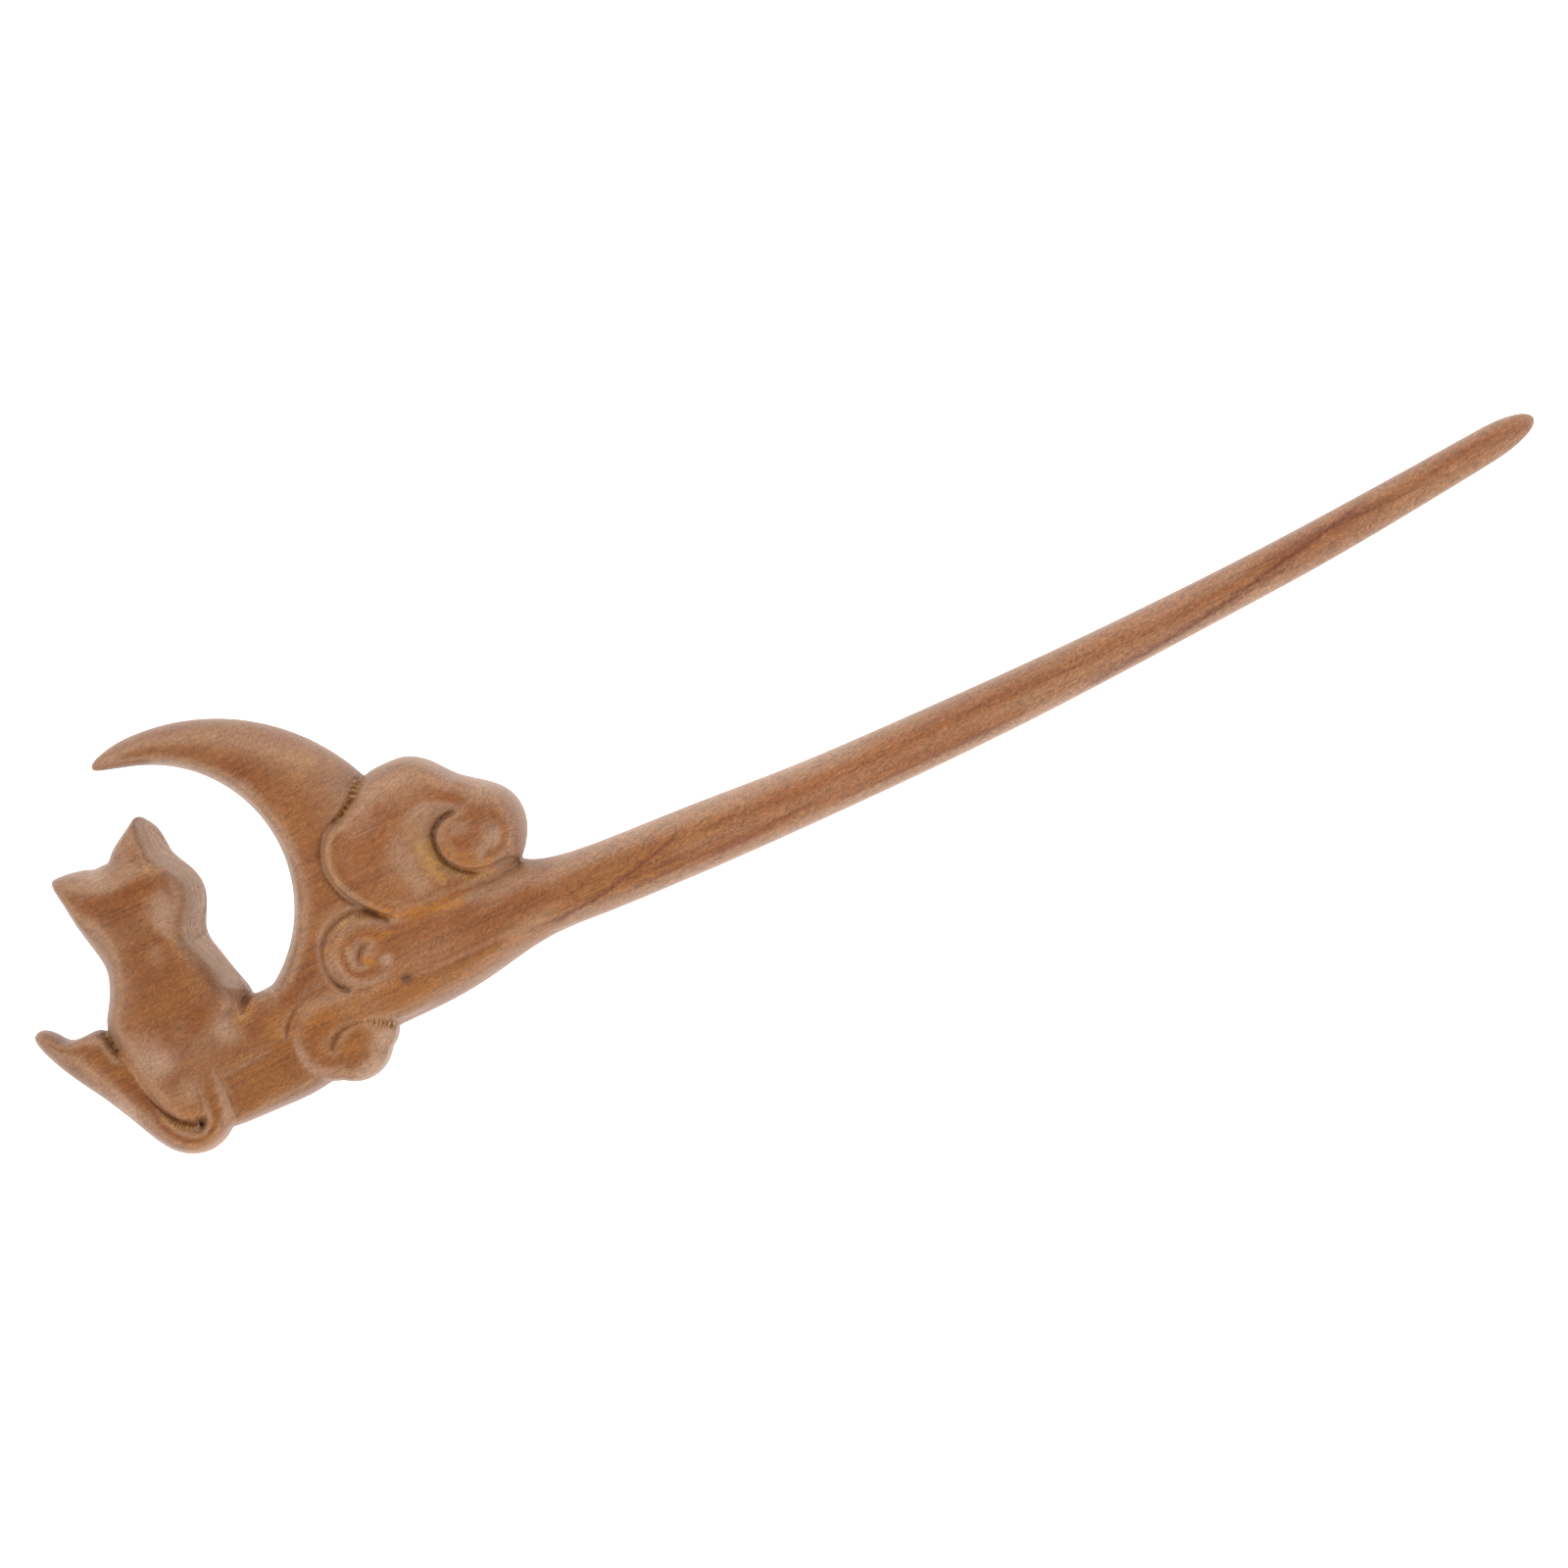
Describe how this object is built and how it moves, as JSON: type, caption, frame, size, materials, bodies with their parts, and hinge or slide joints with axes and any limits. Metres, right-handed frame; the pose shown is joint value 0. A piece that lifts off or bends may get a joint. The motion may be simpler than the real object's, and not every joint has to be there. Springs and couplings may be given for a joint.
{
  "type": "carved wooden hair stick",
  "caption": "One-piece carved hair stick: a gently bowed tapering shaft whose flat-backed head shows a seated cat looking into a crescent moon over scrolled clouds.",
  "frame": {"origin": "middle of the overall box in plan, on the plane of the head's flat back", "axes": "+X along the stick towards the shaft's point, +Y across the board towards the crescent's tip side, +Z out of the carved face"},
  "size_m": [0.18, 0.0457, 0.0095],
  "materials": {
    "wood": "reddish-brown close-grained wood, hand-sanded and oiled to a satin"
  },
  "bodies": {
    "root": {"hair_stick": "wood"}
  },
  "joints": []
}
